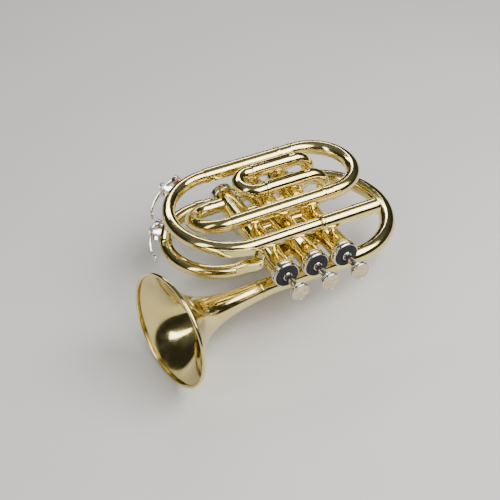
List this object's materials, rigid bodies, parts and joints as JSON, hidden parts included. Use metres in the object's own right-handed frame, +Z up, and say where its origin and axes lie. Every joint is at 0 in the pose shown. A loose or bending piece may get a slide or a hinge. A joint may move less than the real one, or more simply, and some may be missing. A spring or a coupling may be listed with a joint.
{
  "type": "pocket horn",
  "caption": "Compact valved brass horn with a folded bore, flared bell, tuning slide, valve slides, water keys and a finger hook.",
  "frame": {"origin": "centre of the bottom of the bounding box, with the valves level", "axes": "+X from the bell towards the mouthpiece, +Y from the buttons down the valves, +Z up from the under loops to the upper loops"},
  "size_m": [0.25, 0.1878, 0.0939],
  "materials": {
    "lacquered_brass": "clear-lacquered, bright",
    "nickel_silver": "polished plate",
    "pearl": "pearl inlay",
    "felt": "dense felt",
    "cork": "matt cork",
    "spring_steel": "drawn wire",
    "nylon": "moulded"
  },
  "bodies": {
    "horn": {"back_leg": "lacquered_brass", "bell": "lacquered_brass", "bell_bow": "lacquered_brass", "bell_rim": "lacquered_brass", "bell_stem": "lacquered_brass", "bottom_caps": "nickel_silver", "braces": "lacquered_brass", "cap_felts": "felt", "casing_1": "lacquered_brass", "casing_2": "lacquered_brass", "casing_3": "lacquered_brass", "entry_bow": "lacquered_brass", "ferrules": "lacquered_brass", "first_port_bends": "lacquered_brass", "first_sleeves": "lacquered_brass", "key_nipples": "nickel_silver", "key_pins": "nickel_silver", "key_saddles": "nickel_silver", "key_springs": "spring_steel", "leadpipe": "lacquered_brass", "loop_bow": "lacquered_brass", "main_bow": "lacquered_brass", "outlet_tube": "lacquered_brass", "pinky_hook": "lacquered_brass", "receiver": "lacquered_brass", "receiver_ring": "lacquered_brass", "second_sleeves": "lacquered_brass", "third_port_elbows": "lacquered_brass", "third_sleeves": "lacquered_brass", "top_caps": "nickel_silver", "tuning_sleeves": "lacquered_brass", "valve_guides": "nylon", "valve_knuckles": "lacquered_brass", "valve_spring_1": "spring_steel", "valve_spring_2": "spring_steel", "valve_spring_3": "spring_steel"},
    "tuning_slide": {"tuning_tubes": "lacquered_brass", "tuning_bow": "lacquered_brass"},
    "first_slide": {"first_slide_tubes": "nickel_silver", "first_slide_bow": "lacquered_brass"},
    "second_slide": {"second_slide_tubes": "nickel_silver", "second_slide_bow": "lacquered_brass"},
    "third_slide": {"third_slide_tubes": "nickel_silver", "third_slide_bow": "lacquered_brass"},
    "main_key": {"main_key_lever": "nickel_silver", "main_key_cork": "cork"},
    "loop_key": {"loop_key_lever": "nickel_silver", "loop_key_cork": "cork"},
    "valve_1": {"piston_1": "nickel_silver", "stem_1": "nickel_silver", "button_1": "nickel_silver", "pearl_1": "pearl"},
    "valve_2": {"piston_2": "nickel_silver", "stem_2": "nickel_silver", "button_2": "nickel_silver", "pearl_2": "pearl"},
    "valve_3": {"piston_3": "nickel_silver", "stem_3": "nickel_silver", "button_3": "nickel_silver", "pearl_3": "pearl"}
  },
  "joints": [
    {"name": "tuning_slide_pull", "type": "slide", "parent": "horn", "child": "tuning_slide", "axis": [1, 0, 0], "range_m": [0, 0.02]},
    {"name": "first_slide_pull", "type": "slide", "parent": "horn", "child": "first_slide", "axis": [-1, 0, 0], "range_m": [0, 0.012]},
    {"name": "second_slide_pull", "type": "slide", "parent": "horn", "child": "second_slide", "axis": [0, 0, -1], "range_m": [0, 0.008]},
    {"name": "third_slide_pull", "type": "slide", "parent": "horn", "child": "third_slide", "axis": [1, 0, 0], "range_m": [0, 0.015]},
    {"name": "valve_1_press", "type": "slide", "parent": "horn", "child": "valve_1", "axis": [0, 1, 0], "range_m": [0, 0.012], "stiffness_N_per_m": 120, "springref_m": -0.015, "deforming": ["valve_spring_1"]},
    {"name": "valve_2_press", "type": "slide", "parent": "horn", "child": "valve_2", "axis": [0, 1, 0], "range_m": [0, 0.012], "stiffness_N_per_m": 120, "springref_m": -0.015, "deforming": ["valve_spring_2"]},
    {"name": "valve_3_press", "type": "slide", "parent": "horn", "child": "valve_3", "axis": [0, 1, 0], "range_m": [0, 0.012], "stiffness_N_per_m": 120, "springref_m": -0.015, "deforming": ["valve_spring_3"]},
    {"name": "main_key_lift", "type": "hinge", "parent": "horn", "child": "main_key", "pos_m": [-0.06561, 0.07721, 0.07805], "axis": [0, 0, 1], "range_deg": [0, 10], "stiffness_Nm_per_rad": 0.02, "springref_deg": -28.65},
    {"name": "loop_key_lift", "type": "hinge", "parent": "horn", "child": "loop_key", "pos_m": [-0.08039, 0.0706, 0.04005], "axis": [0, 0, 1], "range_deg": [0, 10], "stiffness_Nm_per_rad": 0.02, "springref_deg": -28.65}
  ]
}
